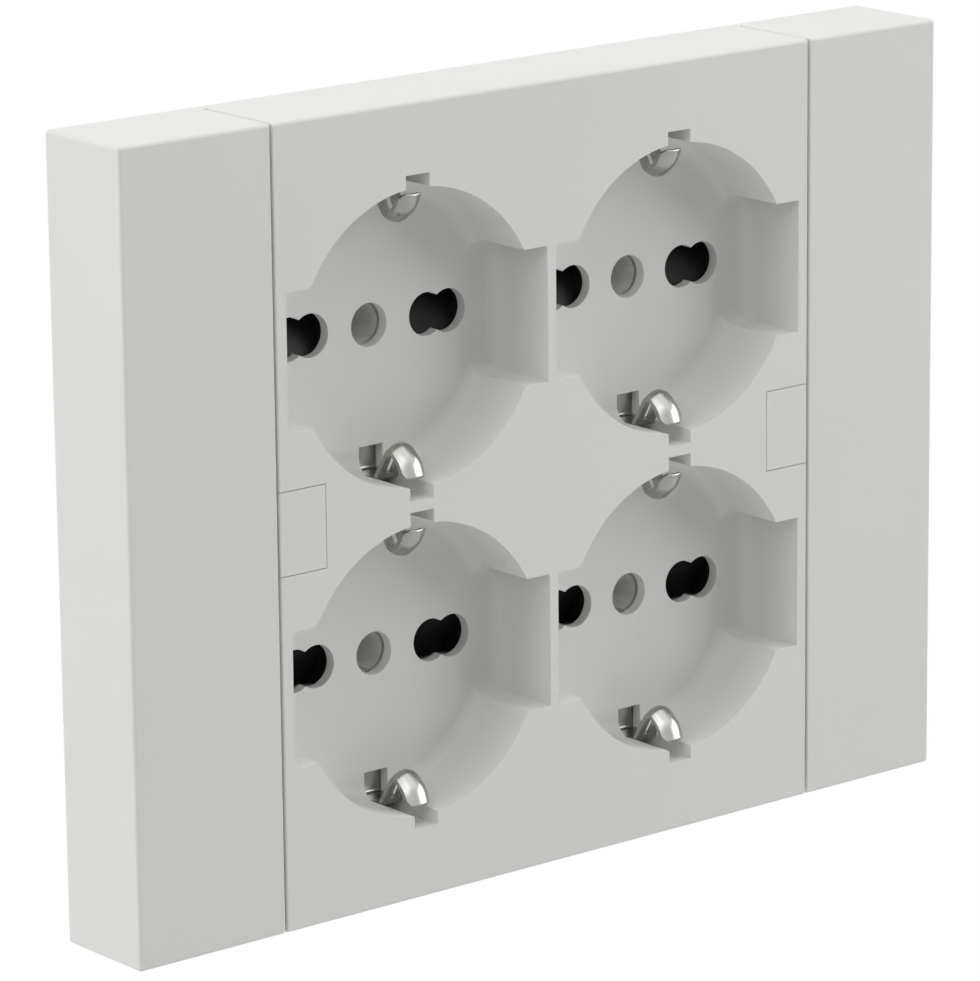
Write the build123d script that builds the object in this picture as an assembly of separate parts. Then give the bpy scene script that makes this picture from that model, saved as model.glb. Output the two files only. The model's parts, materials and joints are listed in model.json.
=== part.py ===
from build123d import *
import os

# Quad wall socket: four earthed recesses with in-line pin holes in one thick
# plate, screwed to a rectangular flush wall box.
# Millimetres. Origin at the middle of the wall plane, +X to the right seen from
# the room, +Y into the wall, +Z up. The front face looks along -Y.

# Plate
plate_width = 136.0
plate_height = 105.0
plate_depth = 15.2
frame_thickness = 1.6
side_margin = 1.6
seam_gap = 0.4
edge_round = 0.5
seam_round = 0.2
wall = 1.6
front_wall = 2.0
rim_wall = 2.0

# Recesses
recess_radius = 19.5
recess_depth = 10.5
floor_thickness = 1.5
cup_wall = 1.4
recess_web = 1.4
pocket_step = 1.7
recess_floor_round = 2.0
pocket_height = 18.0
channel_width = 3.9
window_inset = 3.6
pin_hole = 5.8
small_pin_pitch = 19.0
large_pin_pitch = 26.0

# Screws and caps
box_screw_pitch = 83.5
box_screw_shank = 3.4
box_screw_neck = 2.6
box_screw_head = 5.6
box_screw_head_height = 2.2
box_screw_length = 27.0
cap_inner_reach = 4.4
cap_height = 11.1
cap_thickness = 1.6
cap_gap = 0.12
cap_ledge = 0.7
cap_leg_sheet = 1.0
lug_play = 1.5
well_floor = 4.0
housing_screw_x = 27.2
housing_screw_z = 10.0
housing_screw_shank = 2.9
housing_screw_head = 5.4
housing_screw_head_height = 1.9
housing_screw_length = 24.0
boss_radius = 3.0

# Parts in the wall box
block_side_wall = 1.3
block_end_wall = 1.8
block_depth = 13.8
block_corner = 3.0
lug_room = 5.15
lug_room_height = 12.4
cover_depth = 4.2
cover_floor = 1.8
tower_depth = 6.4
tower_wall = 1.4

# Earth parts
strip_width = 3.6
strip_thickness = 0.6
strap_ring = 4.4
strap_gap = 0.1
sleeve_radius = 3.0
sleeve_wall = 0.4
sleeve_slit = 0.8
sleeve_ring = 2.0
clip_foot_depth = 7.6
clip_crest_depth = 4.6
clip_crest_inset = 4.4
clip_crest_round = 0.8
clip_nose_depth = 2.5
clip_nose_inset = 2.65
clip_nose_round = 2.5
clip_tip_depth = 1.85
clip_tip_inset = 1.0
clip_tip_round = 1.3
clip_bend = 0.1
clip_slit_width = 1.0
clip_slit_depth = 3.0
clip_slit_height = 2.9

# Live parts
bar_thickness = 0.8
bar_width = 2.6
contact_width = 8.4
contact_sheet = 0.5
contact_grip = 3.6
contact_mouth = 6.2
contact_slit = 0.6
contact_bend = 2.0
line_bar_drop = 6.25
neutral_bar_rise = 4.5
terminal_spacing = 14.0
terminal_size = 7.0
terminal_depth = 7.6
wire_hole = 3.2
terminal_thread = 3.0
terminal_head = 4.6
terminal_head_height = 1.4

# Shutters
shutter_inner = 5.6
shutter_outer = 17.0
shutter_half = 3.9
shutter_travel = 6.8
shutter_depth = 4.8
shutter_gap = 0.2
ramp_side_wall = 0.8
ramp_rest = 0.9
bridge_height = 3.0
bridge_depth = 2.2
spring_radius = 1.45
spring_wire = 0.4
spring_turns = 5
spring_seat_z = 4.7

fit_gap = 0.3
cell_wall = 1.2

# Places worked out from the sizes above
front_y = -plate_depth
floor_y = front_y + recess_depth
floor_back_y = floor_y + floor_thickness
frame_front_y = -frame_thickness
pocket_reach = recess_radius + pocket_step
window_start = recess_radius - window_inset
socket_pitch = 2 * pocket_reach + recess_web
half_pitch = socket_pitch / 2
front_half = half_pitch + pocket_reach + side_margin
cover_start = front_half + seam_gap
cover_middle = (cover_start + plate_width / 2) / 2
contact_offset = (small_pin_pitch + large_pin_pitch) / 4
box_screw_x = box_screw_pitch / 2
cap_start = box_screw_x - cap_inner_reach
lug_room_from = box_screw_x - lug_room
well_floor_y = frame_front_y - well_floor
shutter_front_y = floor_back_y + shutter_gap
shutter_back_y = shutter_front_y + shutter_depth
block_floor_y = shutter_back_y + fit_gap
bar_front_y = block_depth
block_width = 2 * (half_pitch + shutter_outer + fit_gap + block_side_wall)
block_height = 2 * (half_pitch + neutral_bar_rise + bar_width / 2 + block_end_wall)
cover_back_y = block_depth + cover_depth
tower_back_y = cover_back_y + tower_depth
earth_bar_y = block_depth - 3 * bar_thickness
cell_width = contact_width + 2 * fit_gap
cell_height = contact_mouth + 2 * contact_sheet + 2 * fit_gap
head_room = housing_screw_head / 2 + fit_gap
post_radius = head_room + cell_wall

# Socket names, with the middle of each and the way its shutter slides
sockets = {
    "upper_left": (-half_pitch, half_pitch, -1),
    "upper_right": (half_pitch, half_pitch, -1),
    "lower_left": (-half_pitch, -half_pitch, 1),
    "lower_right": (half_pitch, -half_pitch, 1),
}


def prism(sketch, y_front, y_back):
    """A sketch drawn as seen from the room, filled between two depths."""
    back = Plane(origin=(0, y_back, 0), x_dir=(1, 0, 0), z_dir=(0, -1, 0))
    return extrude(back * sketch, y_back - y_front)


def slab(x_from, x_to, y_from, y_to, z_from, z_to):
    """A straight block between six faces."""
    middle = ((x_from + x_to) / 2, (y_from + y_to) / 2, (z_from + z_to) / 2)
    return Pos(*middle) * Box(x_to - x_from, y_to - y_from, z_to - z_from)


def rod(x, z, radius, y_front, y_back):
    """A round bar along the depth."""
    return prism(Pos(x, z) * Circle(radius), y_front, y_back)


def ribbon(points, radii, thickness):
    """A bent strip's section: a line with rounded corners, given a thickness."""
    line = FilletPolyline(*points, radius=radii)
    return make_face(line.offset_2d(thickness / 2, side=Side.BOTH))


def as_socket(shape, name):
    """Turns a shape drawn round the origin to one socket's middle."""
    x, z, slide = sockets[name]
    turn = 0 if slide < 0 else 180
    return Pos(x, 0, z) * Rot(0, turn, 0) * shape


def one_solid(shape):
    """Keeps a single piece as a plain solid."""
    return shape.solids()[0] if len(shape.solids()) == 1 else shape


# Front moulding
def recess_outline(grow=0.0):
    """The round recess with its two side pockets, as seen from the room."""
    pockets = Rectangle(2 * (pocket_reach + grow), pocket_height + 2 * grow)
    return Circle(recess_radius + grow) + pockets


def channel_outline(grow=0.0):
    """The narrow slot for the earth clips, above and below the recess."""
    return Rectangle(channel_width + 2 * grow, 2 * (pocket_reach + grow))


def window_outline():
    """The two floor windows that the earth clips come out of."""
    height = pocket_reach - window_start
    middle = (pocket_reach + window_start) / 2
    places = [Pos(0, side * middle) for side in (-1, 1)]
    return Sketch() + [place * Rectangle(channel_width, height) for place in places]


def pin_outline():
    """Centre earth hole and the two in-line pairs of pin holes."""
    reach = [0.0]
    reach += [side * pitch / 2 for side in (-1, 1) for pitch in (small_pin_pitch, large_pin_pitch)]
    return Sketch() + [Pos(x, 0) * Circle(pin_hole / 2) for x in reach]


def recess_bowl():
    """The room in one recess: its floor runs into the walls with a round."""
    bowl = prism(recess_outline(), front_y, floor_y)
    bowl = fillet(bowl.faces().sort_by(Axis.Y)[-1].edges(), recess_floor_round)
    return bowl + prism(channel_outline(), front_y, floor_y)


def hollow_case(x_from, x_to, wall_from, wall_to, outer_corners=False):
    """A cover open at the back, with rounded edges round its front."""
    top = plate_height / 2
    case = slab(x_from, x_to, front_y, frame_front_y, -top, top)
    if outer_corners:
        case = fillet(case.edges().filter_by(Axis.Y).group_by(Axis.X)[-1], edge_round)
    rim = case.faces().sort_by(Axis.Y)[0].edges()
    seams = [edge for edge in rim.filter_by(Axis.Z) if abs(edge.center().X) < cover_middle]
    outside = [edge for edge in rim if edge not in seams]
    case = fillet(outside, edge_round)
    corners = case.faces().sort_by(Axis.Y)[0].edges().filter_by(Axis.Z)
    seams = [edge for edge in corners if abs(edge.center().X) < cover_middle]
    case = fillet(seams, seam_round)
    inner_top = top - rim_wall
    inner_y = front_y + front_wall
    return case - slab(x_from + wall_from, x_to - wall_to, inner_y, frame_front_y, -inner_top, inner_top)


def screw_well(side):
    """Tube and pocket for one box screw, open to the seam."""
    half = cap_height / 2
    root_y = front_y + front_wall / 2
    outer = slab(cap_start - wall, front_half, root_y, frame_front_y, -half - wall, half + wall)
    edge = front_half + edge_round
    mouth = slab(cap_start, edge, front_y - edge_round, front_y + cap_thickness, -half, half)
    low = half - cap_ledge
    pit = slab(cap_start, edge, front_y, well_floor_y, -low, low)
    hole = rod(box_screw_x, 0, box_screw_shank / 2 + fit_gap, well_floor_y, frame_front_y)
    if side < 0:
        return [mirror(piece, Plane.YZ) for piece in (outer, mouth + pit, hole)]
    return [outer, mouth + pit, hole]


def housing_screw_places():
    """Where the four long screws hold the rear parts to the front."""
    return [(housing_screw_x, 0), (-housing_screw_x, 0), (0, housing_screw_z), (0, -housing_screw_z)]


def make_socket_front():
    front = hollow_case(-front_half, front_half, wall, wall)
    wells = [screw_well(side) for side in (-1, 1)]
    for x, z, slide in sockets.values():
        cup = recess_outline(cup_wall) + channel_outline(cup_wall)
        front += prism(Pos(x, z) * cup, front_y + front_wall / 2, floor_back_y)
    for outer, pit, hole in wells:
        front += outer
    for x, z in housing_screw_places():
        front += rod(x, z, boss_radius, front_y + front_wall / 2, 0)
    inside = slab(-front_half, front_half, front_y, 0, -plate_height / 2, plate_height / 2)
    front &= inside
    bowl = recess_bowl()
    for x, z, slide in sockets.values():
        front -= Pos(x, 0, z) * bowl
        front -= prism(Pos(x, z) * (window_outline() + pin_outline()), floor_y, floor_back_y)
    for outer, pit, hole in wells:
        front -= pit
        front -= hole
    for x, z in housing_screw_places():
        front -= rod(x, z, housing_screw_shank / 2, block_depth + cover_depth - housing_screw_length, 0)
    return one_solid(front)


# Covers at the sides
cover_hook_x = cover_middle
cover_hook_z = 26.0
cover_hook_width = 8.0
hook_sheet = 1.4
hook_barb = 0.7
barb_length = 2.1
hook_gap = 0.15
hook_reach = 10.0
hook_end_y = front_y + hook_reach


def hook_profile(y_root, y_end, sheet, barb):
    """A snap hook seen from above: a straight leaf with a barb at its end."""
    barb_y = y_end - barb_length if y_end > y_root else y_end + barb_length
    points = [(0, y_root), (sheet, y_root), (sheet, barb_y)]
    points += [(sheet + barb, barb_y), (sheet, y_end), (0, y_end)]
    return make_face(Polyline(*points, close=True))


def make_side_cover(side):
    cover = hollow_case(cover_start, plate_width / 2, wall, rim_wall, outer_corners=True)
    profile = hook_profile(front_y + front_wall / 2, hook_end_y, hook_sheet, hook_barb)
    for z in (-cover_hook_z, cover_hook_z):
        place = Pos(cover_hook_x, 0, z - cover_hook_width / 2)
        cover += place * extrude(profile, cover_hook_width)
    if side < 0:
        cover = mirror(cover, Plane.YZ)
    return one_solid(cover)


def make_screw_cap(side):
    half = cap_height / 2 - cap_gap
    inner = cap_start + cap_gap
    plate = slab(inner, front_half, front_y, front_y + cap_thickness, -half, half)
    plate = fillet(plate.faces().sort_by(Axis.Y)[0].edges().sort_by(Axis.X)[-1], seam_round)
    leg_end = front_y + 3 * cap_thickness
    low = cap_height / 2 - cap_ledge - cap_gap
    for sign in (-1, 1):
        ends = sorted((sign * low, sign * (low - cap_leg_sheet)))
        plate += slab(inner + wall, front_half - wall, front_y + cap_thickness, leg_end, *ends)
    if side < 0:
        plate = mirror(plate, Plane.YZ)
    return one_solid(plate)


# Frame on the wall
slot_x = cover_middle
slot_inset = 10.5
slot_z = plate_height / 2 - slot_inset
slot_width = 4.5
slot_length = 12.0


def block_outline(grow=0.0):
    """The rear parts' outline, notched at both sides for the box lugs."""
    body = Rectangle(block_width + 2 * grow, block_height + 2 * grow)
    body = fillet(body.vertices(), block_corner)
    notch_from = lug_room_from + grow
    notch_width = block_width / 2 - notch_from + 2 * grow
    notch = Rectangle(2 * notch_width, lug_room_height - 2 * grow)
    for side in (-1, 1):
        body -= Pos(side * (notch_from + notch_width), 0) * notch
    return body


def make_mounting_frame():
    plate = prism(Rectangle(plate_width, plate_height), frame_front_y, 0)
    uprights = plate.edges().filter_by(Axis.Y)
    plate = fillet(uprights, edge_round)
    plate -= prism(block_outline(fit_gap), frame_front_y, 0)
    for side in (-1, 1):
        hole = SlotCenterToCenter(lug_play, box_screw_shank + 2 * fit_gap)
        plate -= prism(Pos(side * box_screw_x, 0) * hole, frame_front_y, 0)
        for z in (-slot_z, slot_z):
            slot = SlotOverall(slot_length, slot_width)
            plate -= prism(Pos(side * slot_x, z) * slot, frame_front_y, 0)
    post_tip_y = hook_end_y - 2 * barb_length - hook_gap
    profile = hook_profile(frame_front_y, post_tip_y, -hook_sheet, -hook_barb)
    shift = cover_hook_x + 2 * hook_sheet + hook_barb + hook_gap
    for z in (-cover_hook_z, cover_hook_z):
        post = Pos(shift, 0, z - cover_hook_width / 2) * extrude(profile, cover_hook_width)
        plate += post
        plate += mirror(post, Plane.YZ)
    return one_solid(plate)


# Parts in the wall box
def terminal_places():
    """Middle of each terminal along X: neutral, earth, line."""
    return {"neutral": -terminal_spacing, "earth": 0.0, "line": terminal_spacing}


def earth_bar_outline(grow=0.0):
    """Two uprights through the four earth sleeves, and a link with its terminal pad."""
    width = bar_width + 2 * grow
    pad = sleeve_radius + strip_thickness + grow
    shape = Rectangle(socket_pitch + width, width)
    shape += Rectangle(terminal_size + 2 * grow, terminal_size + 2 * grow)
    for side in (-1, 1):
        shape += Pos(side * half_pitch, 0) * Rectangle(width, socket_pitch)
        for end in (-1, 1):
            shape += Pos(side * half_pitch, end * half_pitch) * Circle(pad)
    return shape


def cored_outline():
    """What the mould leaves empty between the block's cells and tubes."""
    cell = Rectangle(cell_width + 2 * cell_wall, cell_height + 2 * cell_wall)
    shape = block_outline(-wall)
    for x, z, slide in sockets.values():
        for side in (-1, 1):
            shape -= Pos(x + side * contact_offset, z) * cell
        shape -= Pos(x, z) * Circle(sleeve_radius + fit_gap + cell_wall)
    for x, z in housing_screw_places():
        shape -= Pos(x, z) * Circle(boss_radius)
    return shape - earth_bar_outline(fit_gap + cell_wall)


def make_contact_block():
    block = prism(block_outline(), 0, block_depth)
    block -= prism(cored_outline(), spring_axis_y + spring_radius + wall, block_depth)
    run = shutter_half + bridge_height + shutter_travel
    for name, (x, z, slide) in sockets.items():
        low = -run - 2 * fit_gap
        high = shutter_half + fit_gap
        room = slab(-shutter_outer - fit_gap, shutter_outer + fit_gap, 0, block_floor_y, low, high)
        spring_room = spring_radius + spring_wire / 2 + fit_gap
        seat = -(half_pitch - spring_seat_z)
        room += slab(-spring_room, spring_room, 0, spring_axis_y + spring_room, seat, -shutter_half)
        block -= as_socket(room, name)
        for side in (-1, 1):
            cell = Pos(x + side * contact_offset, z) * Rectangle(cell_width, cell_height)
            block -= prism(cell, 0, block_depth)
        block -= rod(x, z, sleeve_radius + fit_gap, 0, block_depth)
    block -= prism(earth_bar_outline(fit_gap), earth_bar_y, block_depth)
    for x, z in housing_screw_places():
        block -= rod(x, z, housing_screw_shank / 2 + fit_gap, 0, block_depth)
    return one_solid(block)


def make_rear_cover():
    cover = prism(block_outline(), block_depth, cover_back_y)
    cover -= prism(block_outline(-wall), block_depth, cover_back_y - cover_floor)
    for x, z in housing_screw_places():
        cover += rod(x, z, post_radius, block_depth, cover_back_y)
    pocket = terminal_size + 2 * fit_gap
    tower_width = 2 * terminal_spacing + pocket + 2 * tower_wall
    cover += prism(Rectangle(tower_width, pocket + 2 * tower_wall), cover_back_y - cover_floor, tower_back_y)
    wire_y = bar_front_y + bar_thickness + terminal_depth / 2
    for x in terminal_places().values():
        cover -= prism(Pos(x, 0) * Rectangle(pocket, pocket), block_depth, tower_back_y)
        entry = Cylinder(wire_hole / 2 + fit_gap, pocket, align=(Align.CENTER, Align.CENTER, Align.MAX))
        cover -= Pos(x, wire_y, 0) * entry
    for x, z in housing_screw_places():
        head_y = cover_back_y - housing_screw_head_height
        cover -= rod(x, z, housing_screw_shank / 2 + fit_gap, block_depth, cover_back_y)
        cover -= rod(x, z, head_room, head_y, cover_back_y)
    return one_solid(cover)


# Earth parts
def clip_section():
    """One earth clip from the side: depth against distance from the middle."""
    strap_y = floor_back_y + strip_thickness / 2
    foot = recess_radius + strip_thickness / 4
    points = [
        (strap_y, window_start),
        (strap_y, foot),
        (front_y + clip_foot_depth, foot),
        (front_y + clip_crest_depth, recess_radius - clip_crest_inset),
        (front_y + clip_nose_depth, recess_radius - clip_nose_inset),
        (front_y + clip_tip_depth, recess_radius - clip_tip_inset),
    ]
    foot_round = strip_thickness + clip_bend
    return ribbon(points, [foot_round, foot_round, clip_crest_round, clip_nose_round], strip_thickness)


def tip_corners():
    """What a tongue's rounded tip leaves out, as seen from the room."""
    reach = recess_radius - clip_tip_inset + strip_thickness / 2
    tongue = Rectangle(strip_width, 2 * reach)
    around = Rectangle(strip_width + strip_thickness, 2 * reach + strip_thickness)
    return around - fillet(tongue.vertices(), clip_tip_round)


def make_earth_strap(name):
    strap = Rectangle(strip_width, 2 * window_start + strip_thickness) + Circle(strap_ring)
    strap = prism(strap, floor_back_y, floor_back_y + strip_thickness)
    side_view = Plane(origin=(-strip_width / 2, 0, 0), x_dir=(0, 1, 0), z_dir=(1, 0, 0))
    clip = extrude(side_view * clip_section(), strip_width)
    slot_y = front_y + (clip_foot_depth + clip_crest_depth) / 2
    slot_reach = recess_radius - clip_crest_inset / 2 + strip_thickness / 2
    slot = Pos(0, slot_y, slot_reach) * Box(clip_slit_width, clip_slit_depth, clip_slit_height)
    clip -= slot
    clip -= prism(tip_corners(), front_y, front_y + clip_crest_depth)
    strap += clip
    strap += mirror(clip, Plane.XY)
    strap -= rod(0, 0, sleeve_radius + strap_gap, floor_back_y, 0)
    return one_solid(as_socket(strap, name))


def make_earth_sleeve(name):
    sleeve = rod(0, 0, sleeve_radius, floor_back_y, earth_bar_y)
    sleeve -= rod(0, 0, sleeve_radius - sleeve_wall, floor_back_y, earth_bar_y - sleeve_wall)
    half = sleeve_slit / 2
    sleeve -= slab(-half, half, floor_back_y, earth_bar_y - sleeve_ring, 0, sleeve_radius)
    return one_solid(as_socket(sleeve, name))


def make_earth_bar():
    return one_solid(prism(earth_bar_outline(), earth_bar_y, earth_bar_y + bar_thickness))


# Live parts
def make_contact(x, z):
    """A folded fork that grips a pin in either of two holes."""
    half_grip = contact_grip / 2
    half_mouth = contact_mouth / 2
    mouth_y = block_floor_y + fit_gap
    base_y = bar_front_y - contact_sheet / 2
    run = base_y - mouth_y
    side = [(base_y, half_mouth), (mouth_y + 0.35 * run, half_grip), (mouth_y, half_mouth)]
    points = [(y, -reach) for y, reach in reversed(side)] + side
    waist_bend = contact_bend / 2
    section = ribbon(points, [contact_bend, waist_bend, waist_bend, contact_bend], contact_sheet)
    side_view = Plane(origin=(x - contact_width / 2, 0, z), x_dir=(0, 1, 0), z_dir=(1, 0, 0))
    fork = extrude(side_view * section, contact_width)
    slit_half = contact_slit / 2
    ends = (mouth_y - contact_sheet, base_y - contact_bend)
    return fork - slab(x - slit_half, x + slit_half, *ends, z - contact_mouth, z + contact_mouth)


def contact_places(side):
    """The four contacts of one pole: the holes on one side of every socket."""
    return {name: (x + side * contact_offset, z) for name, (x, z, slide) in sockets.items()}


def bar_run(x_from, x_to, z_from, z_to):
    """One straight run of flat bar between two points."""
    width = abs(x_to - x_from) + bar_width
    height = abs(z_to - z_from) + bar_width
    return Pos((x_from + x_to) / 2, (z_from + z_to) / 2) * Rectangle(width, height)


def terminal_pad(x):
    return Pos(x, 0) * Rectangle(terminal_size, terminal_size)


def make_line_bar():
    near = -half_pitch + contact_offset
    far = half_pitch + contact_offset
    level = half_pitch - line_bar_drop
    shape = bar_run(terminal_spacing, terminal_spacing, -level, level) + terminal_pad(terminal_spacing)
    for sign in (-1, 1):
        shape += bar_run(near, far, sign * level, sign * level)
        for x in (near, far):
            shape += bar_run(x, x, *sorted((sign * level, sign * half_pitch)))
    return one_solid(prism(shape, bar_front_y, bar_front_y + bar_thickness))


def make_neutral_bar():
    near = half_pitch - contact_offset
    far = -half_pitch - contact_offset
    level = half_pitch + neutral_bar_rise
    branch = post_radius + fit_gap + bar_width / 2
    shape = bar_run(far, far, -level, level)
    shape += bar_run(far, -terminal_spacing, -branch, -branch)
    shape += bar_run(-terminal_spacing, -terminal_spacing, -branch, 0) + terminal_pad(-terminal_spacing)
    for sign in (-1, 1):
        shape += bar_run(far, near, sign * level, sign * level)
        shape += bar_run(near, near, *sorted((sign * level, sign * half_pitch)))
    return one_solid(prism(shape, bar_front_y, bar_front_y + bar_thickness))


def terminal_seat_y(pole):
    return earth_bar_y + bar_thickness if pole == "earth" else bar_front_y + bar_thickness


def make_terminal(pole):
    x = terminal_places()[pole]
    back_y = bar_front_y + bar_thickness + terminal_depth
    block = prism(terminal_pad(x), terminal_seat_y(pole), back_y)
    wire_y = bar_front_y + bar_thickness + terminal_depth / 2
    block -= Pos(x, wire_y, 0) * Cylinder(wire_hole / 2, terminal_size)
    block -= rod(x, 0, terminal_thread / 2, wire_y, back_y)
    return one_solid(block)


def make_screw(place, shank, length, head, y_seat, way):
    """A screw along the depth with a crossed round head; way is 1 when the head looks back."""
    x, z = place
    head, head_height = head
    head_end = y_seat + way * head_height
    shank_end = y_seat - way * length
    body = rod(x, z, shank / 2, *sorted((y_seat, shank_end)))
    body += rod(x, z, head / 2, *sorted((y_seat, head_end)))
    rim = body.edges().filter_by(GeomType.CIRCLE).sort_by(Axis.Y)
    body = fillet(rim[-1] if way > 0 else rim[0], head_height / 3)
    slot_bottom = head_end - way * head_height / 2
    for slot in (Rectangle(head * 0.7, head / 6), Rectangle(head / 6, head * 0.7)):
        body -= prism(Pos(x, z) * slot, *sorted((slot_bottom, head_end)))
    return body


def make_terminal_screws():
    seat = bar_front_y + bar_thickness + terminal_depth
    length = terminal_depth / 2 - wire_hole / 2
    head = (terminal_head, terminal_head_height)
    return [make_screw((x, 0), terminal_thread, length, head, seat, 1) for x in terminal_places().values()]


def make_housing_screws():
    seat = cover_back_y - housing_screw_head_height
    length = housing_screw_length - housing_screw_head_height
    head = (housing_screw_head, housing_screw_head_height)
    return [make_screw(place, housing_screw_shank, length, head, seat, 1) for place in housing_screw_places()]


def make_box_screw(side):
    """A captive screw: a thin neck in the plate, full thread past the wall plane."""
    x = side * box_screw_x
    head = (box_screw_head, box_screw_head_height)
    screw = make_screw((x, 0), box_screw_shank, box_screw_length, head, well_floor_y, -1)
    screw -= rod(x, 0, box_screw_head / 2, well_floor_y, 0) - rod(x, 0, box_screw_neck / 2, well_floor_y, 0)
    return one_solid(screw)


# Shutters
bridge_front_y = shutter_back_y - bridge_depth
spring_axis_y = (bridge_front_y + shutter_back_y) / 2


def make_shutter(name):
    """A slider with two ramped wings, open round the earth sleeve."""
    bottom = -shutter_half - bridge_height
    body = slab(-shutter_outer, shutter_outer, bridge_front_y, shutter_back_y, bottom, -shutter_half)
    ramp = [
        (shutter_front_y, -shutter_half + ramp_rest / 2),
        (shutter_back_y - ramp_rest, shutter_half),
        (shutter_front_y, shutter_half),
    ]
    ramp_width = shutter_outer - shutter_inner - 2 * ramp_side_wall
    for side in (-1, 1):
        ends = sorted((side * shutter_inner, side * shutter_outer))
        body += slab(*ends, shutter_front_y, shutter_back_y, -shutter_half, shutter_half)
    for side in (-1, 1):
        start = min(side * shutter_inner, side * shutter_outer) + ramp_side_wall
        side_view = Plane(origin=(start, 0, 0), x_dir=(0, 1, 0), z_dir=(1, 0, 0))
        body -= extrude(side_view * make_face(Polyline(*ramp, close=True)), ramp_width)
    return one_solid(as_socket(body, name))


def make_spring(name):
    """A wire spring between the shutter's bridge and its seat in the block."""
    bottom = -(half_pitch - spring_seat_z) + spring_wire / 2
    top = -shutter_half - bridge_height - spring_wire / 2
    height = top - bottom
    line = Helix(pitch=height / spring_turns, height=height, radius=spring_radius)
    section = Plane(origin=line @ 0, z_dir=line % 0) * Circle(spring_wire / 2)
    coil = sweep(section, path=line, is_frenet=True)
    return one_solid(as_socket(Pos(0, spring_axis_y, bottom) * coil, name))


# All the nodes
def make_all():
    nodes = {"socket_front": make_socket_front(), "mounting_frame": make_mounting_frame()}
    for side, word in ((-1, "left"), (1, "right")):
        nodes["side_cover_" + word] = make_side_cover(side)
        nodes["screw_cap_" + word] = make_screw_cap(side)
        nodes["box_screw_" + word] = make_box_screw(side)
    nodes["contact_block"] = make_contact_block()
    nodes["rear_cover"] = make_rear_cover()
    for name in sockets:
        nodes["earth_strap_" + name] = make_earth_strap(name)
        nodes["earth_sleeve_" + name] = make_earth_sleeve(name)
        nodes["shutter_" + name] = make_shutter(name)
        nodes["shutter_spring_" + name] = make_spring(name)
    for pole, side in (("line", 1), ("neutral", -1)):
        for name, (x, z) in contact_places(side).items():
            nodes[pole + "_contact_" + name] = one_solid(make_contact(x, z))
    nodes["line_bar"] = make_line_bar()
    nodes["neutral_bar"] = make_neutral_bar()
    nodes["earth_bar"] = make_earth_bar()
    for pole in terminal_places():
        nodes[pole + "_terminal"] = make_terminal(pole)
    nodes["terminal_screws"] = Compound(children=make_terminal_screws())
    nodes["housing_screws"] = Compound(children=make_housing_screws())
    return nodes


os.makedirs("parts", exist_ok=True)
for node, shape in make_all().items():
    export_step(shape, "parts/" + node + ".step")
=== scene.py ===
import json
import math

import bmesh
import bpy
from mathutils import Matrix, Vector


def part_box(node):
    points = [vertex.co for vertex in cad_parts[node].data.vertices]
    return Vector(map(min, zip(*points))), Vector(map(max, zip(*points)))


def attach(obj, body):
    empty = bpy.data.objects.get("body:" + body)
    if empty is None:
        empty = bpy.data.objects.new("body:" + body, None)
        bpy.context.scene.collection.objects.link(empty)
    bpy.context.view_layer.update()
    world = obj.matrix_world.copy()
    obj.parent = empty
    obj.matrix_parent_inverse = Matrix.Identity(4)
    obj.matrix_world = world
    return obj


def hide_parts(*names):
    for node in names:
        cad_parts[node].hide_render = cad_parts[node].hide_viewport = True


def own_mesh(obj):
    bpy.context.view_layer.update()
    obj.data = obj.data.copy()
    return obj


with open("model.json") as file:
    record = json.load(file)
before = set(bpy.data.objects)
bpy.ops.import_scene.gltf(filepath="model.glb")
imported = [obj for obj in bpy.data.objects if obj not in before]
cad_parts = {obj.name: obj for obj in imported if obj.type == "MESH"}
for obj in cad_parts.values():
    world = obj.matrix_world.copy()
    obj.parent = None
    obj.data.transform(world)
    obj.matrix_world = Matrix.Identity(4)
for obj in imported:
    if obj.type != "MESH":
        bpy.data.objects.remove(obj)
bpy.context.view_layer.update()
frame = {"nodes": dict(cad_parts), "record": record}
record = frame["record"]
nodes = frame["nodes"]

# Lengths in metres, in the same frame as the solids: the wall plane is Y = 0 and
# the front of the plate looks along -Y.
FRONT_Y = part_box("socket_front")[0][1]
SOCKETS = ("upper_left", "upper_right", "lower_left", "lower_right")
MERGE_WITHIN = 1e-6
CUT_TOLERANCE = 1e-7


# Finishes, with the scale of each noise in waves to the metre
PLASTIC_FLOW = 22.0
PLASTIC_PATCHES = 160.0
PLASTIC_GRAIN = 5200.0
PLASTIC_GRAIN_STRENGTH = 0.35
PLASTIC_ROUGHNESS_SPREAD = 0.04
PLASTIC_IOR = 1.5
PLASTIC_SHINE = 0.25
METAL_CLOUD = 420.0
METAL_LINES = 900.0
METAL_LINE_STRENGTH = 0.25
METAL_SMOOTHEST = 0.7
METAL_ROUGHEST = 1.4
FIRST_TONE_END = 0.35
SECOND_TONE_START = 0.65

# Depth where a colour is full, depth where it has faded, and the share of it left there:
# painted shade darkens the strips towards the recess floor, where they lie behind the floor windows,
# and the front rim of each sleeve is dark
CLIP_ROOT_PAINTED_SHADE = (-0.0078, -0.0060, 0.75)
SLEEVE_RIM_FADE = (-0.0030, -0.0031, 0.35)


def start_finish(name):
    """An empty finish: the material, its node tree and its shader."""
    material = bpy.data.materials.new(name)
    material.use_nodes = True
    tree = material.node_tree
    return material, tree, tree.nodes["Principled BSDF"]


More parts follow.
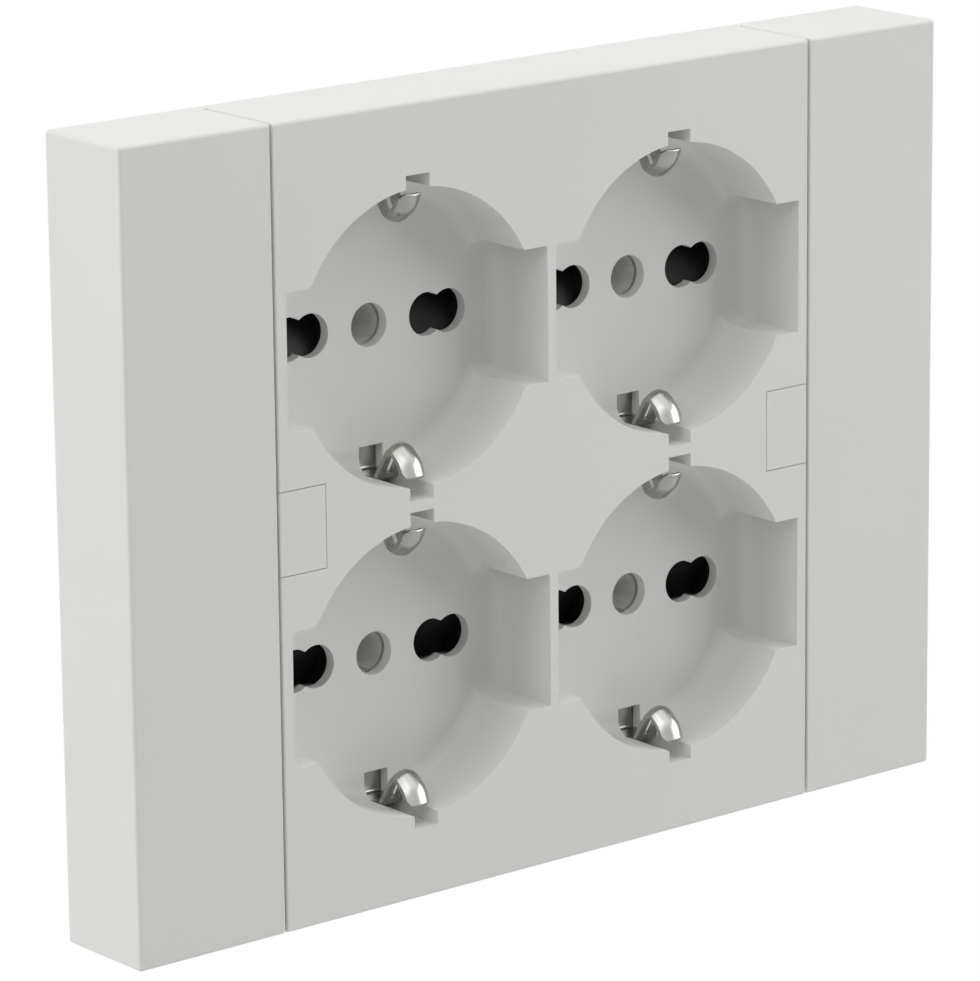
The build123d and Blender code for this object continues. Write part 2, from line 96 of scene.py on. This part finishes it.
def surface_noise(tree, scale, detail=3.0, stretch=(1.0, 1.0, 1.0)):
    """A noise fixed to the piece, with its scale in waves to the metre."""
    place = tree.nodes.new("ShaderNodeTexCoord")
    mapping = tree.nodes.new("ShaderNodeMapping")
    mapping.inputs["Scale"].default_value = stretch
    noise = tree.nodes.new("ShaderNodeTexNoise")
    noise.inputs["Scale"].default_value = scale
    noise.inputs["Detail"].default_value = detail
    tree.links.new(place.outputs["Object"], mapping.inputs["Vector"])
    tree.links.new(mapping.outputs["Vector"], noise.inputs["Vector"])
    return noise.outputs["Fac"]


def between(tree, factor, low, high):
    """Turns a 0 to 1 factor into a number between two limits."""
    spread = tree.nodes.new("ShaderNodeMapRange")
    spread.inputs["To Min"].default_value = low
    spread.inputs["To Max"].default_value = high
    tree.links.new(factor, spread.inputs["Value"])
    return spread.outputs["Result"]


def two_tones(tree, factor, first, second):
    """A colour that drifts between two close tones."""
    ramp = tree.nodes.new("ShaderNodeValToRGB")
    start, end = ramp.color_ramp.elements
    start.position = FIRST_TONE_END
    start.color = (*first, 1.0)
    end.position = SECOND_TONE_START
    end.color = (*second, 1.0)
    tree.links.new(factor, ramp.inputs["Fac"])
    return ramp.outputs["Color"]


def faded(tree, colour, full_y, faded_y, share):
    """A colour that fades to a share of itself from one depth to another."""
    place = tree.nodes.new("ShaderNodeTexCoord")
    split = tree.nodes.new("ShaderNodeSeparateXYZ")
    tree.links.new(place.outputs["Object"], split.inputs["Vector"])
    fade = between(tree, split.outputs["Y"], 1.0, share)
    fade.node.inputs["From Min"].default_value = full_y
    fade.node.inputs["From Max"].default_value = faded_y
    scaled = tree.nodes.new("ShaderNodeVectorMath")
    scaled.operation = "SCALE"
    tree.links.new(colour, scaled.inputs["Vector"])
    tree.links.new(fade, scaled.inputs["Scale"])
    return scaled.outputs["Vector"]


def raise_grain(tree, shader, height, depth, strength):
    """Bump of a real depth in metres."""
    bump = tree.nodes.new("ShaderNodeBump")
    bump.inputs["Distance"].default_value = depth
    bump.inputs["Strength"].default_value = strength
    tree.links.new(height, bump.inputs["Height"])
    tree.links.new(bump.outputs["Normal"], shader.inputs["Normal"])


def moulded_plastic(name, tone, shade, roughness, grain):
    """Satin injection moulding: faint flow tones and a fine spark-eroded grain."""
    material, tree, shader = start_finish(name)
    flow = surface_noise(tree, PLASTIC_FLOW)
    tree.links.new(two_tones(tree, flow, shade, tone), shader.inputs["Base Color"])
    patches = surface_noise(tree, PLASTIC_PATCHES)
    smoothest = roughness - PLASTIC_ROUGHNESS_SPREAD
    roughest = roughness + PLASTIC_ROUGHNESS_SPREAD
    tree.links.new(between(tree, patches, smoothest, roughest), shader.inputs["Roughness"])
    shader.inputs["IOR"].default_value = PLASTIC_IOR
    shader.inputs["Specular IOR Level"].default_value = PLASTIC_SHINE
    fine = surface_noise(tree, PLASTIC_GRAIN, detail=2.0)
    raise_grain(tree, shader, fine, grain, PLASTIC_GRAIN_STRENGTH)
    return material


def plated_metal(name, tone, shade, roughness, depth, stretch=(1.0, 1.0, 1.0), fade=None):
    """Rolled or drawn metal: fine lines along the strip and a slightly uneven polish."""
    material, tree, shader = start_finish(name)
    cloud = surface_noise(tree, METAL_CLOUD)
    colour = two_tones(tree, cloud, shade, tone)
    # A fade darkens the colour with depth; on the nickel strips this is painted shade
    if fade:
        colour = faded(tree, colour, *fade)
    tree.links.new(colour, shader.inputs["Base Color"])
    shader.inputs["Metallic"].default_value = 1.0
    lines = surface_noise(tree, METAL_LINES, detail=4.0, stretch=stretch)
    rough = between(tree, lines, roughness * METAL_SMOOTHEST, roughness * METAL_ROUGHEST)
    tree.links.new(rough, shader.inputs["Roughness"])
    raise_grain(tree, shader, lines, depth, METAL_LINE_STRENGTH)
    return material


finishes = {
    "white_moulding": moulded_plastic(
        "satin_white_moulding", tone=(0.812, 0.816, 0.790), shade=(0.798, 0.802, 0.776),
        roughness=0.46, grain=3e-6),
    "grey_moulding": moulded_plastic(
        "light_grey_moulding", tone=(0.60, 0.60, 0.585), shade=(0.57, 0.57, 0.555),
        roughness=0.52, grain=6e-6),
    "black_moulding": moulded_plastic(
        "black_shutter_moulding", tone=(0.014, 0.014, 0.015), shade=(0.010, 0.010, 0.011),
        roughness=0.42, grain=5e-6),
    # The nickel colour darkens towards the recess floor as painted shade on the clip strips
    "nickel_plate": plated_metal(
        "satin_nickel_plate", tone=(0.43, 0.425, 0.405), shade=(0.39, 0.385, 0.365),
        roughness=0.27, depth=2e-6, stretch=(1.0, 1.0, 0.15), fade=CLIP_ROOT_PAINTED_SHADE),
    "contact_brass": plated_metal(
        "stamped_brass", tone=(0.72, 0.53, 0.24), shade=(0.63, 0.45, 0.19),
        roughness=0.26, depth=4e-6, stretch=(0.2, 1.0, 1.0)),
    "spring_steel": plated_metal(
        "drawn_spring_wire", tone=(0.52, 0.52, 0.53), shade=(0.42, 0.42, 0.43),
        roughness=0.24, depth=3e-6),
    "zinc_steel": plated_metal(
        "bright_zinc_plate", tone=(0.50, 0.52, 0.545), shade=(0.42, 0.44, 0.465),
        roughness=0.30, depth=4e-6),
}

sleeve_finish = plated_metal(
    "dull_tinned_sleeve", tone=(0.93, 0.93, 0.92), shade=(0.88, 0.88, 0.87),
    roughness=0.60, depth=3e-6, stretch=(1.0, 0.2, 1.0), fade=SLEEVE_RIM_FADE)

slot_of = {part["node"]: part["material_slot"] for part in record["subparts"]}
for node, slot in slot_of.items():
    solid = nodes[node]
    solid.data.materials.clear()
    solid.data.materials.append(sleeve_finish if node.startswith("earth_sleeve") else finishes[slot])


# Pieces made again with more form than their solids
def loose_copy(node):
    """A mesh to work on, from a copy of one solid with its points joined."""
    shape = bmesh.new()
    shape.from_mesh(nodes[node].data)
    bmesh.ops.remove_doubles(shape, verts=shape.verts, dist=MERGE_WITHIN)
    return shape


def whole(shape):
    """All the points, edges and faces of a mesh."""
    return shape.verts[:] + shape.edges[:] + shape.faces[:]


def stand_for(node, name, shape, sharp_angle):
    """Puts a finished mesh in one solid's place, with its finish and its body."""
    bmesh.ops.recalc_face_normals(shape, faces=shape.faces)
    mesh = bpy.data.meshes.new(name)
    shape.to_mesh(mesh)
    shape.free()
    mesh.shade_smooth()
    mesh.set_sharp_from_angle(angle=sharp_angle)
    mesh.materials.append(finishes[slot_of[node]])
    piece = bpy.data.objects.new(name, mesh)
    bpy.context.scene.collection.objects.link(piece)
    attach(piece, "wall_unit")
    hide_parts(node)
    return piece


# Earth clips: each tongue bulges across its width as well as bending along it
STRIP_HALF_WIDTH = 0.0018
CLIP_FOOT_Y = FRONT_Y + 0.0076
CLIP_CREST_Y = FRONT_Y + 0.0046
CLIP_TIP_Y = FRONT_Y + 0.00185
CLIP_CROWN = 0.00080
CLIP_TIP_TURN = math.radians(75)
CLIP_LANES = 10
CLIP_FLAT_ANGLE = math.radians(0.4)
CLIP_SHARP_ANGLE = math.radians(38)
STAMPED_EDGE = 0.00007


def share_passed(y, start_y, end_y):
    """How far a depth has come from one depth to another, from 0 to 1."""
    return min(max((start_y - y) / (start_y - end_y), 0.0), 1.0)


def crowned_clips(socket):
    """One strip whose two tongues are cut into lanes, then pushed out towards their middle."""
    node = "earth_strap_" + socket
    low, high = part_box(node)
    middle_x = (low[0] + high[0]) / 2
    middle_z = (low[2] + high[2]) / 2
    shape = loose_copy(node)
    bmesh.ops.dissolve_limit(
        shape, angle_limit=CLIP_FLAT_ANGLE, verts=shape.verts, edges=shape.edges)
    for lane in range(1, CLIP_LANES):
        lane_x = middle_x + STRIP_HALF_WIDTH * (2 * lane / CLIP_LANES - 1)
        bmesh.ops.bisect_plane(
            shape, geom=whole(shape), dist=CUT_TOLERANCE,
            plane_co=(lane_x, 0.0, 0.0), plane_no=(1.0, 0.0, 0.0))
    for point in shape.verts:
        rise = share_passed(point.co.y, CLIP_FOOT_Y, CLIP_CREST_Y)
        lean = share_passed(point.co.y, CLIP_CREST_Y, CLIP_TIP_Y)
        across = (point.co.x - middle_x) / STRIP_HALF_WIDTH
        push = CLIP_CROWN * rise * (1 - across * across)
        if push > 0:
            turn = CLIP_TIP_TURN * lean
            inward = -1.0 if point.co.z > middle_z else 1.0
            point.co.y -= push * math.sin(turn)
            point.co.z += push * math.cos(turn) * inward
    piece = stand_for(node, "earth_clips_" + socket, shape, CLIP_SHARP_ANGLE)
    edges = piece.modifiers.new("stamped_edges", "BEVEL")
    edges.width = STAMPED_EDGE
    edges.segments = 2
    edges.limit_method = "ANGLE"
    edges.angle_limit = CLIP_SHARP_ANGLE


for socket in SOCKETS:
    crowned_clips(socket)


# Box screws: a real thread from just behind the wall plane to a tapered point
THREAD_OUTER = 0.0017
THREAD_CORE = 0.00137
THREAD_PITCH = 0.0006
THREAD_STEPS = 20
THREAD_START_Y = 0.0003
THREAD_SHARP_ANGLE = math.radians(32)
POINT_LENGTH = 0.0008
POINT_RADIUS = THREAD_CORE * 0.72


def spun_thread(middle, turns, end_y):
    """A ridge spun along the shank, with a core past its end that tapers to the point."""
    thread = bmesh.new()
    ridge = [
        thread.verts.new(middle + Vector((THREAD_CORE, THREAD_START_Y, 0.0))),
        thread.verts.new(middle + Vector((THREAD_OUTER, THREAD_START_Y + THREAD_PITCH * 0.5, 0.0))),
        thread.verts.new(middle + Vector((THREAD_CORE, THREAD_START_Y + THREAD_PITCH, 0.0))),
    ]
    flanks = [thread.edges.new(ridge[0:2]), thread.edges.new(ridge[1:3])]
    bmesh.ops.spin(
        thread, geom=ridge + flanks, cent=middle, axis=(0.0, 1.0, 0.0),
        dvec=(0.0, THREAD_PITCH / THREAD_STEPS, 0.0), angle=math.radians(360 * turns),
        steps=THREAD_STEPS * turns, use_duplicate=False)
    bmesh.ops.remove_doubles(thread, verts=thread.verts, dist=MERGE_WITHIN)
    bmesh.ops.holes_fill(thread, edges=[edge for edge in thread.edges if edge.is_boundary])
    core_end_y = THREAD_START_Y + THREAD_PITCH * turns
    taper = end_y - core_end_y
    place = Matrix.Translation(middle + Vector((0.0, core_end_y + taper / 2, 0.0)))
    along_y = Matrix.Rotation(math.radians(-90), 4, "X")
    bmesh.ops.create_cone(
        thread, cap_ends=True, segments=THREAD_STEPS * 2, radius1=THREAD_CORE,
        radius2=POINT_RADIUS, depth=taper, matrix=place @ along_y)
    bmesh.ops.recalc_face_normals(thread, faces=thread.faces)
    mesh = bpy.data.meshes.new("spun_thread")
    thread.to_mesh(mesh)
    thread.free()
    return mesh


def threaded_box_screw(side):
    """The solid's head and neck, cut off where the thread starts, with the thread after them."""
    node = "box_screw_" + side
    low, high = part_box(node)
    middle = Vector(((low[0] + high[0]) / 2, 0.0, (low[2] + high[2]) / 2))
    shape = loose_copy(node)
    cut = bmesh.ops.bisect_plane(
        shape, geom=whole(shape), dist=CUT_TOLERANCE,
        plane_co=(0.0, THREAD_START_Y, 0.0), plane_no=(0.0, 1.0, 0.0), clear_outer=True)
    rim = [part for part in cut["geom_cut"] if isinstance(part, bmesh.types.BMEdge)]
    bmesh.ops.holes_fill(shape, edges=rim)
    turns = int((high[1] - POINT_LENGTH - THREAD_START_Y) / THREAD_PITCH) - 1
    thread = spun_thread(middle, turns, high[1])
    shape.from_mesh(thread)
    bpy.data.meshes.remove(thread)
    stand_for(node, "threaded_box_screw_" + side, shape, THREAD_SHARP_ANGLE)


for side in ("left", "right"):
    threaded_box_screw(side)


def sprung_wire(socket):
    """Gives the spring a mesh of its own; the seat is the spring's end nearer the plate's mid
    height.
    """
    node = "shutter_spring_" + socket
    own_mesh(nodes[node])


for socket in SOCKETS:
    sprung_wire(socket)


# Camera, from the plate's edges in the photograph
CAMERA_PLACE = Vector((-0.45558, -0.55885, 0.18029))
CAMERA_TARGET = Vector((-0.00447, -0.0076, -0.00246))
CAMERA_ROLL = math.radians(-0.589)
SENSOR_WIDTH_MM = 36.0
FOCAL_LENGTH_MM = 206.264
NEAREST_SEEN = 0.01


def product_camera():
    """A long lens from the left and a little above."""
    data = bpy.data.cameras.new("camera")
    data.sensor_width = SENSOR_WIDTH_MM
    data.lens = FOCAL_LENGTH_MM
    data.clip_start = NEAREST_SEEN
    camera = bpy.data.objects.new("camera", data)
    camera.location = CAMERA_PLACE
    aim = (CAMERA_TARGET - CAMERA_PLACE).to_track_quat("-Z", "Y")
    camera.rotation_euler = (aim.to_matrix() @ Matrix.Rotation(CAMERA_ROLL, 3, "Z")).to_euler()
    bpy.context.scene.collection.objects.link(camera)
    bpy.context.scene.camera = camera


product_camera()


# Light
WHITE = (1.0, 1.0, 1.0, 1.0)
ROOM_LIGHT = 0.114


def soft_panel(name, place, size, power):
    """A square studio panel that looks at the object."""
    data = bpy.data.lights.new(name, "AREA")
    data.shape = "SQUARE"
    data.size = size
    data.energy = power
    panel = bpy.data.objects.new(name, data)
    panel.location = place
    panel.rotation_euler = (-Vector(place)).to_track_quat("-Z", "Y").to_euler()
    bpy.context.scene.collection.objects.link(panel)


def either(tree, first, second):
    """1 where at least one of two flags is 1."""
    flag = tree.nodes.new("ShaderNodeMath")
    flag.operation = "MAXIMUM"
    tree.links.new(first, flag.inputs[0])
    tree.links.new(second, flag.inputs[1])
    return flag.outputs[0]


def chosen(tree, factor, first, second):
    """The first shader where a factor is 0 and the second where it is 1."""
    mix = tree.nodes.new("ShaderNodeMixShader")
    tree.links.new(factor, mix.inputs["Fac"])
    tree.links.new(first, mix.inputs[1])
    tree.links.new(second, mix.inputs[2])
    return mix.outputs[0]


def white_room(strength):
    """World light of its own strength, seen by the camera and in reflections as white."""
    world = bpy.data.worlds.new("white_room")
    world.use_nodes = True
    bpy.context.scene.world = world
    tree = world.node_tree
    ray = tree.nodes.new("ShaderNodeLightPath").outputs
    seen = either(tree, ray["Is Camera Ray"], ray["Is Transmission Ray"])
    seen = either(tree, seen, ray["Is Glossy Ray"])
    dim = tree.nodes["Background"]
    dim.inputs["Color"].default_value = WHITE
    dim.inputs["Strength"].default_value = strength
    white = tree.nodes.new("ShaderNodeBackground")
    white.inputs["Color"].default_value = WHITE
    white.inputs["Strength"].default_value = 1.0
    surface = chosen(tree, seen, dim.outputs[0], white.outputs[0])
    tree.links.new(surface, tree.nodes["World Output"].inputs["Surface"])


white_room(ROOM_LIGHT)
soft_panel("top_panel", place=(0.10, -0.25, 0.95), size=1.0, power=1.8)
soft_panel("top_back_panel", place=(0.05, 0.30, 1.00), size=1.0, power=3.8)
soft_panel("top_left_panel", place=(-0.70, -0.35, 0.80), size=1.0, power=4.3)
soft_panel("left_back_panel", place=(-1.0, 0.30, 0.15), size=1.0, power=5.1)
soft_panel("front_right_panel", place=(0.75, -0.85, 0.35), size=0.6, power=3.7)
soft_panel("right_panel", place=(1.0, -0.25, 0.30), size=0.6, power=4.3)
bpy.context.scene.view_settings.view_transform = "Standard"


# Floor, well below the object and plain white to the camera
FLOOR_Z = -0.45
FLOOR_HALF_SIZE = 3.0
FLOOR_COLOUR = (0.9, 0.9, 0.9, 1.0)
FLOOR_ROUGHNESS = 0.8


def floor_finish():
    """Pale to the light and plain white to the camera."""
    material, tree, shader = start_finish("pale_floor")
    shader.inputs["Base Color"].default_value = FLOOR_COLOUR
    shader.inputs["Roughness"].default_value = FLOOR_ROUGHNESS
    glow = tree.nodes.new("ShaderNodeEmission")
    ray = tree.nodes.new("ShaderNodeLightPath").outputs
    surface = chosen(tree, ray["Is Camera Ray"], shader.outputs[0], glow.outputs[0])
    tree.links.new(surface, tree.nodes["Material Output"].inputs["Surface"])
    return material


def pale_floor():
    """One square sheet."""
    mesh = bpy.data.meshes.new("floor")
    shape = bmesh.new()
    bmesh.ops.create_grid(shape, x_segments=1, y_segments=1, size=FLOOR_HALF_SIZE)
    bmesh.ops.translate(shape, verts=shape.verts, vec=(0.0, 0.0, FLOOR_Z))
    shape.to_mesh(mesh)
    shape.free()
    mesh.materials.append(floor_finish())
    floor = bpy.data.objects.new("floor", mesh)
    bpy.context.scene.collection.objects.link(floor)


pale_floor()
